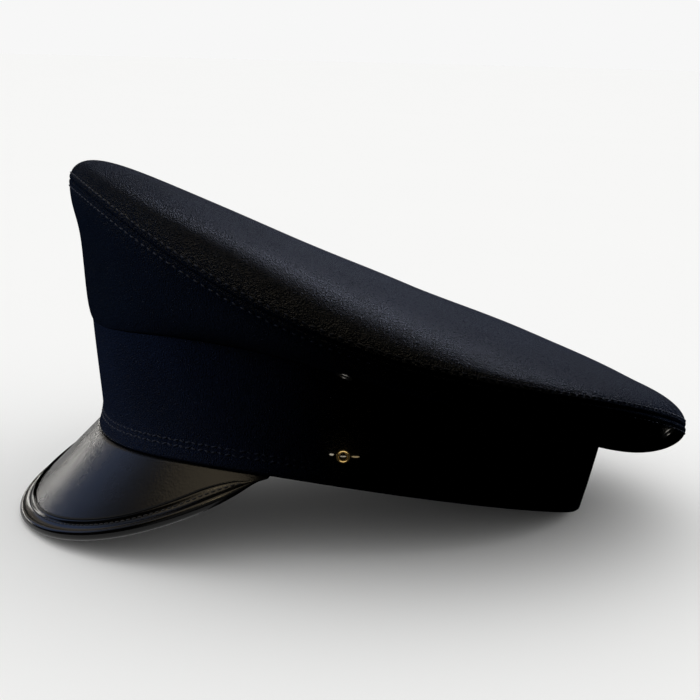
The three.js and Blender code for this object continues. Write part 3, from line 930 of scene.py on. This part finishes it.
def stitches(name, rows, length, thread, arch, finish):
    """All stitches of some rows as one mesh: each a short thread that arches up from the cloth.

    At the way t along a stitch, from -1 to 1, the thread's radius goes as the root of 1 - 0.8 t to the
    4th, and its middle stands up by arch (1 - 1.6 t squared).
    """
    middle, along, up = (np.concatenate(parts) for parts in zip(*rows))
    across = np.cross(up, along)
    t = np.linspace(-1, 1, THREAD_RINGS)[:, None]
    turn = np.linspace(0, FULL, THREAD_SIDES, endpoint=False)[None]
    radius = thread / 2 * np.sqrt(1 - 0.8 * t**4)
    up_from_cloth = radius * np.sin(turn) + arch * (1 - 1.6 * t**2)
    local = stacked(t * length / 2, radius * np.cos(turn), up_from_cloth).reshape(-1, 3)
    axes = np.stack([along, across, up], axis=1)
    points = middle[:, None] + np.einsum("vk,nkx->nvx", local, axes)
    ring, side = grid_numbers(THREAD_RINGS - 1, THREAD_SIDES)
    next_side = (side + 1) % THREAD_SIDES
    quads = np.stack([ring, ring + 1, ring + 1, ring], axis=1) * THREAD_SIDES
    quads += np.stack([side, side, next_side, next_side], axis=1)
    first = np.arange(THREAD_SIDES)
    caps = np.stack([first, first[::-1] + (THREAD_RINGS - 1) * THREAD_SIDES])
    if volume(points[0], quads) < 0:
        quads = quads[:, ::-1]
        caps = caps[:, ::-1]
    starts = np.arange(len(middle))[:, None, None] * len(local)
    faces = [(group[None] + starts).reshape(-1, group.shape[1]) for group in (quads, caps)]
    finish_piece(fill_mesh(name, points.reshape(-1, 3), faces), finish)


def sew(name, rows, pitch, kind, thread, finish="polyester thread"):
    """Stitches of one kind along rows, each a path of close points with its normals, as one mesh."""
    placed = [placed_stitches(*row, pitch, kind) for row in rows]
    stitches(name, placed, kind.share * pitch, thread, kind.arch, finish)


def surface_row(surface, turn, distance, rows):
    """A path on a surface at a distance from its first row, and the surface's normals along it."""
    along = along_at(surface, turn, distance, rows)
    return surface(turn, along), normal_of(surface, turn, along)


class CAP_OT_stitches(bpy.types.Operator):
    """Make the topstitching: two rows along the top seam, two on the band and one in the binding"""

    bl_idname = "cap.stitches"
    bl_label = "Stitches"

    def execute(self, context):
        sizes = context.scene.cap_sizes
        thread = sizes.thread / MM
        turn = np.linspace(0, FULL, PATH_POINTS)
        row = sizes.seam_row / MM
        down = np.linspace(1, SIDE_SEARCH, SEARCH_ROWS)
        out = outward(TOP_SEAM, turn)
        rows = []
        for surface, ways, below in ((top_surface, top_rows(), -row), (side_surface, down, row)):
            path, normals = surface_row(surface, turn, row, ways)
            rows.append((path + out * seam_padding(turn, below)[:, None], normals))
        sew("top_seam_stitches", rows, sizes.seam_pitch / MM, SEAM_STITCHING, thread)
        up = np.linspace(0, BAND_SEARCH, SEARCH_ROWS)
        heights = (sizes.band_row, sizes.band_row + sizes.band_row_space)
        rows = [surface_row(band_surface, turn, height / MM, up) for height in heights]
        sew("band_stitches", rows, sizes.band_pitch / MM, BAND_STITCHING, thread)
        channel = np.array([[BINDING_ROW, BINDING_OVER - CHANNEL_DIP]])
        share = np.linspace(-BINDING_ROW_END, BINDING_ROW_END, PATH_POINTS)
        points, place = binding_place(share, channel, sizes)
        rows = [(points[:, 0], place.face)]
        pitch = sizes.binding_pitch / MM
        sew("binding_stitches", rows, pitch, BINDING_STITCHING, thread, "polyester thread, binding")
        return {"FINISHED"}


# Eyelets


class Eyelet(NamedTuple):
    """Radii of a pressed eyelet, its rolled lip, how much deeper its inner flange lies, its place on
    the cloth, and how far it leans up and stands off where the cloth dents round it."""

    hole: float
    barrel: float
    flange: float
    lip: float
    deeper: float
    angle: float
    along: float
    tilt: float = 0.0
    lift: float = 0.0


BAND_EYELET = Eyelet(1.45, 1.95, 2.6, 0.7, 0, math.radians(74.4), 0.284)
SIDE_VENT = Eyelet(1.9, 2.2, 3.1, 0.5, 0.3, math.radians(72.7), 0.258, math.radians(10), 0.4)
REAR_VENT = Eyelet(1.9, 2.2, 3.1, 0.5, 1.2, math.radians(135.2), 0.8)
SIDES = {"left": 1, "right": -1}
LIP_POINTS = 13
LIP_POWER = 0.8  # under 1, for a full round
LIP_ROOM = 0.05  # between the flanges and the face of the cloth
FLANGE_CORNER = 0.3

# Each tack's name, its way round the cap and up from the eyelet's middle, its length, the thickness of
# its thread, and its material
TACKS = (
    ("front_tack", -4.2, 0.7, 1.7, 0.8, "cotton thread, white"),
    ("rear_tack", 4.5, 0.1, 2.8, 0.65, "cotton thread, tan"),
    ("bar_tack", 0, 0.1, 2.3, 0.5, "cotton thread, white"),
)
TACK_PROUD = 0.1  # how far a tack's middle stands off the cloth
TACK_ARCH = 0.15


def eyelet_profile(eyelet, cloth):
    """Radii and heights round the metal's section: a rolled lip outside, half an ellipse over the
    flange, down the barrel, and a flat flange inside."""
    turn = np.linspace(0, math.pi, LIP_POINTS)
    middle = (eyelet.hole + eyelet.flange) / 2
    half = (eyelet.flange - eyelet.hole) / 2
    lip = stacked(middle + half * np.cos(turn), LIP_ROOM + eyelet.lip * np.sin(turn) ** LIP_POWER)
    inside = -cloth - GAP - eyelet.deeper
    back = np.array(
        [
            [eyelet.hole, inside - eyelet.lip],
            [eyelet.flange - FLANGE_CORNER, inside - eyelet.lip],
            [eyelet.flange, inside - eyelet.lip / 2],
            [eyelet.flange, inside],
            [eyelet.barrel, inside],
            [eyelet.barrel, -LIP_ROOM],
            [eyelet.flange, -LIP_ROOM],
        ]
    )
    return np.concatenate([lip, back])


def eyelet_axes(surface, eyelet, side):
    """Where an eyelet stands, and its ways round the cap, along the cloth and out of it."""
    turn = np.array(side * eyelet.angle)
    place = surface(turn, np.array(eyelet.along))
    out = normal_of(surface, turn, np.array(eyelet.along))
    across = unit(np.cross([0, 0, 1], out))
    up = np.cross(out, across)
    tilt = eyelet.tilt
    leaning = out * math.cos(tilt) + up * math.sin(tilt)
    return place + out * eyelet.lift, across, up * math.cos(tilt) - out * math.sin(tilt), leaning


def lathed(name, profile, axes):
    """A profile turned about the way out: each point goes round a circle of its own radius."""
    place, across, along, out = axes
    turn = np.linspace(0, FULL, LATHE_SIDES, endpoint=False)[:, None, None]
    radius, height = profile[None, :, :1], profile[None, :, 1:]
    loops = place + radius * (np.cos(turn) * across + np.sin(turn) * along) + height * out
    return skin(name, loops)


class CAP_OT_eyelets(bpy.types.Operator):
    """Make the brass eyelets of the band and the blackened vents of the crown"""

    bl_idname = "cap.eyelets"
    bl_label = "Eyelets"

    def execute(self, context):
        cloth = context.scene.cap_sizes.cloth / MM
        kinds = (
            ("band_eyelet", BAND_EYELET, band_surface, "brass", "brass"),
            ("side_vent", SIDE_VENT, side_surface, "blackened steel", "dark_metal"),
            ("rear_vent", REAR_VENT, side_surface, "blackened steel", "dark_metal"),
        )
        for name, eyelet, surface, finish, slot in kinds:
            for side, sign in SIDES.items():
                axes = eyelet_axes(surface, eyelet, sign)
                piece = lathed(f"{name}_ring_{side}", eyelet_profile(eyelet, cloth), axes)
                finish_piece(piece, finish, [f"{name}_{side}"])
        return {"FINISHED"}


class CAP_OT_tacks(bpy.types.Operator):
    """Make the small thread tacks beside and behind the band's eyelets"""

    bl_idname = "cap.tacks"
    bl_label = "Thread tacks"

    def execute(self, context):
        for side, sign in SIDES.items():
            place, across, along, out = eyelet_axes(band_surface, BAND_EYELET, sign)
            for name, sideways, up, length, thread, finish in TACKS:
                middle = place + across * sideways * sign + along * up + out * TACK_PROUD
                row = (middle[None], across[None], out[None])
                stitches(f"{name}_{side}", [row], length, thread, TACK_ARCH, finish)
        return {"FINISHED"}


class CAP_OT_finishes(bpy.types.Operator):
    """Make the materials of the cap"""

    bl_idname = "cap.finishes"
    bl_label = "Finishes"

    def execute(self, context):
        colours = context.scene.cap_colours
        make_material("wool barathea, crown", wool_barathea, colours.crown)
        # Same wool as the crown, with a lighter colour: painted light for the light that falls on the band's
        # front
        make_material("wool barathea, band, painted lighter", wool_barathea, colours.band)
        lacquer = {"roughness": 0.26, "grain": 0.9, "depth": 0.16}
        make_material("patent leather, peak", patent_leather, colours.patent, **lacquer)
        lacquer = {"roughness": 0.15, "grain": 0.7, "depth": 0.06}
        make_material("patent leather, binding", patent_leather, colours.binding, **lacquer)
        make_material("polyester thread", sewing_thread, colours.thread)
        make_material("polyester thread, binding", sewing_thread, colours.thread)
        make_material("cotton thread, white", sewing_thread, colours.white_thread)
        make_material("cotton thread, tan", sewing_thread, colours.tan_thread)
        make_material("brass", struck_metal, colours.brass, roughness=0.3)
        make_material("blackened steel", struck_metal, colours.vent, roughness=0.35)
        return {"FINISHED"}


# The stage

IMAGE = 700  # pixels on a side
FOCAL = 1488  # focal length in pixels, from the outline's perspective
SENSOR = 36  # millimetres
EYE_AZIMUTH = math.radians(14.5)  # of the camera, from the +X side towards the front
EYE_ELEVATION = math.radians(10.84)
EYE_ROLL = math.radians(-1.44)
EYE_DISTANCE = 620
EYE_TARGET = (0, -27.9, 75)
PICTURE_MIDDLE = (291.14, 331.01)  # where the target falls, in pixels from the upper left


def make_camera(scene):
    """The camera: its back axis from azimuth and elevation, rolled, with the shift of the frame."""
    azimuth, elevation, roll = EYE_AZIMUTH, EYE_ELEVATION, EYE_ROLL
    level = math.cos(elevation)
    back = Vector((math.cos(azimuth) * level, -math.sin(azimuth) * level, math.sin(elevation)))
    right = Vector((math.sin(azimuth), math.cos(azimuth), 0))
    up = back.cross(right)
    x_axis = right * math.cos(roll) - up * math.sin(roll)
    y_axis = right * math.sin(roll) + up * math.cos(roll)
    data = bpy.data.cameras.new("camera")
    data.sensor_width = SENSOR
    data.lens = FOCAL * SENSOR / IMAGE
    data.shift_x = (IMAGE / 2 - PICTURE_MIDDLE[0]) / IMAGE
    data.shift_y = (PICTURE_MIDDLE[1] - IMAGE / 2) / IMAGE
    data.clip_start = 0.01
    camera = bpy.data.objects.new("camera", data)
    turned = Matrix((x_axis, y_axis, back)).transposed().to_4x4()
    turned.translation = (Vector(EYE_TARGET) + back * EYE_DISTANCE) * MM
    camera.matrix_world = turned
    scene.collection.objects.link(camera)
    scene.camera = camera


class Softbox(NamedTuple):
    """A softbox: its way from the cap and its height over the table in degrees, its distance and size
    in metres, its radiance and colour, and whether the gloss of the pieces shows it.

    The way counts from the far side, -X, towards the rear.
    """

    name: str
    way: float
    height: float
    distance: float
    size: tuple
    radiance: float
    colour: str
    glossy: bool = True


# Of each kind of pieces, its softboxes
SOFTBOXES = {
    "cloth": (
        Softbox("window", 40, 31, 1.5, (0.9, 0.4), 2.9, "#dde5ff"),
        Softbox("ceiling", -42, 71, 1.4, (0.9, 0.9), 1.35, "#ffefd0"),
        Softbox("fill", -66, 16, 1.5, (0.8, 0.7), 6.0, "#e4ebff", False),
        Softbox("rear_fill", 50, 28, 1.5, (1.2, 0.8), 8.0, "#e4ebff", False),
    ),
    "leather": (
        Softbox("horizon", -16, 4, 1.5, (1.3, 0.08), 6.0, "#f4f1ec"),
        Softbox("lamp", -131, 42, 1.3, (0.3, 0.12), 6.0, "#ffe9b8"),
        Softbox("room", -145, 20, 1.4, (1.6, 1.0), 0.1, "#ffffff"),
        Softbox("curtain", -22, 19, 1.3, (0.34, 0.5), 0.25, "#fff1de"),
        Softbox("window", -40, 20, 1.3, (0.5, 0.5), 0.46, "#a9c4ff"),
        Softbox("middle", -54, 34, 1.3, (0.4, 0.5), 0.25, "#d6e2ff"),
        Softbox("ceiling", -94, 57, 1.3, (1.1, 0.7), 0.78, "#ffeccb"),
    ),
    "fittings": (
        Softbox("fill", 195, 20, 1.2, (1.6, 1.2), 1.3, "#fff6e4"),
        Softbox("rear_fill", 15, 20, 1.2, (1.6, 1.2), 1.3, "#fff6e4"),
    ),
}
# The beginnings of the names of the pieces of each kind
LIT_PIECES = {
    "cloth": ("crown_", "band_cloth", "top_seam", "band_stitches"),
    "leather": ("patent_peak", "peak_edge", "binding_"),
    "fittings": ("band_eyelet", "side_vent", "rear_vent", "front_tack", "rear_tack", "bar_tack"),
}
AIM = Vector((0, 0, 0.07))  # the place in the cap that the softboxes face, in metres
BOUNCE_SIZE = 0.9  # of the light that the floor throws on the peak, in metres
BOUNCE = 0.36  # its radiance
BOUNCE_PLACE = (-0.3, -0.52, 0.0003)  # in metres, just over the floor


def collected(name, pieces):
    """A collection of the pieces that a light reaches."""
    group = bpy.data.collections.new(name)
    for piece in pieces:
        group.objects.link(piece)
    return group


def area_light(scene, name, size, radiance, colour, lit):
    """A rectangular light out of the camera's sight. Its power is radiance times pi times its area."""
    data = bpy.data.lights.new(name, "AREA")
    data.shape = "RECTANGLE"
    data.size, data.size_y = size
    data.energy = radiance * math.pi * size[0] * size[1]
    data.color = linear(colour)
    light = bpy.data.objects.new(name, data)
    light.visible_camera = False
    light.light_linking.receiver_collection = lit
    scene.collection.objects.link(light)
    return light


def make_softbox(scene, kind, box, lit):
    """A softbox turned to the cap."""
    way, height = math.radians(box.way), math.radians(box.height)
    level = box.distance * math.cos(height)
    place = Vector((-level * math.cos(way), level * math.sin(way), box.distance * math.sin(height)))
    light = area_light(scene, f"{kind}_{box.name}", box.size, box.radiance, box.colour, lit)
    light.location = place + AIM
    light.rotation_euler = (-place).to_track_quat("-Z", "Y").to_euler()
    light.visible_glossy = box.glossy


def make_bounce(scene, lit):
    """The light that the pale floor throws up on the peak."""
    light = area_light(scene, "floor_bounce", (BOUNCE_SIZE, BOUNCE_SIZE), BOUNCE, "#ffffff", lit)
    light.location = BOUNCE_PLACE
    light.rotation_euler = (math.pi, 0, 0)


FLOOR_RADIUS = 20000
FLOOR_COLUMNS = 96
FLOOR_SHADOW_ANGLE = math.radians(165)  # how wide the floor's own light is, for a soft shadow
FLOOR_LIGHT = 3.3  # strength of that light


def make_floor(scene):
    """A level disc, lit evenly by a wide lamp of its own so that it stays pale under a dark cap."""
    turn = np.linspace(0, FULL, FLOOR_COLUMNS, endpoint=False)
    rim = stacked(FLOOR_RADIUS * np.cos(turn), FLOOR_RADIUS * np.sin(turn), 0 * turn)
    floor = fill_mesh("floor", rim, [np.arange(FLOOR_COLUMNS)[None]])
    board = make_material("matt painted board", painted_floor, scene.cap_colours.floor)
    floor.data.materials.append(board)
    floor.visible_diffuse = False
    floor.visible_glossy = False
    data = bpy.data.lights.new("floor_light", "SUN")
    data.energy = FLOOR_LIGHT
    data.angle = FLOOR_SHADOW_ANGLE
    lamp = bpy.data.objects.new("floor_light", data)
    scene.collection.objects.link(lamp)
    lamp.light_linking.receiver_collection = collected("floor only", [floor])


class CAP_OT_stage(bpy.types.Operator):
    """Make the pale floor, the soft studio lights and the camera"""

    bl_idname = "cap.stage"
    bl_label = "Stage"

    def execute(self, context):
        scene = context.scene
        make_floor(scene)
        meshes = [piece for piece in scene.objects if piece.type == "MESH"]
        lit = {
            kind: collected(kind + " only", [piece for piece in meshes if piece.name.startswith(starts)])
            for kind, starts in LIT_PIECES.items()
        }
        for kind, boxes in SOFTBOXES.items():
            for box in boxes:
                make_softbox(scene, kind, box, lit[kind])
        make_bounce(scene, lit["leather"])
        world = bpy.data.worlds.new("world")
        world.use_nodes = True
        world.node_tree.nodes["Background"].inputs["Color"].default_value = rgba(linear("#f7f7f7"))
        world.cycles_visibility.diffuse = False
        world.cycles_visibility.glossy = False
        scene.world = world
        scene.view_settings.view_transform = "Standard"
        make_camera(scene)
        return {"FINISHED"}


class VIEW3D_PT_peaked_cap(bpy.types.Panel):
    """Sizes, colours and steps of the peaked cap"""

    bl_label = "Peaked cap"
    bl_space_type = "VIEW_3D"
    bl_region_type = "UI"
    bl_category = "Peaked cap"

    def draw(self, context):
        for group in (context.scene.cap_sizes, context.scene.cap_colours):
            column = self.layout.column(align=True)
            for name in group.__annotations__:
                column.prop(group, name)
        for step in STEPS:
            self.layout.operator(step.bl_idname)


STEPS = (
    CAP_OT_finishes,
    CAP_OT_crown_top,
    CAP_OT_crown_side,
    CAP_OT_band,
    CAP_OT_peak,
    CAP_OT_binding,
    CAP_OT_stitches,
    CAP_OT_eyelets,
    CAP_OT_tacks,
    CAP_OT_stage,
)
CLASSES = (CapSizes, CapColours, *STEPS, VIEW3D_PT_peaked_cap)


def register():
    for cls in CLASSES:
        bpy.utils.register_class(cls)
    bpy.types.Scene.cap_sizes = bpy.props.PointerProperty(type=CapSizes)
    bpy.types.Scene.cap_colours = bpy.props.PointerProperty(type=CapColours)


def unregister():
    del bpy.types.Scene.cap_colours
    del bpy.types.Scene.cap_sizes
    for cls in reversed(CLASSES):
        bpy.utils.unregister_class(cls)


def main():
    register()
    bpy.ops.cap.finishes()
    bpy.ops.cap.crown_top()
    bpy.ops.cap.crown_side()
    bpy.ops.cap.band()
    bpy.ops.cap.peak()
    bpy.ops.cap.binding()
    bpy.ops.cap.stitches()
    bpy.ops.cap.eyelets()
    bpy.ops.cap.tacks()
    bpy.ops.cap.stage()


if __name__ == "__main__":
    main()
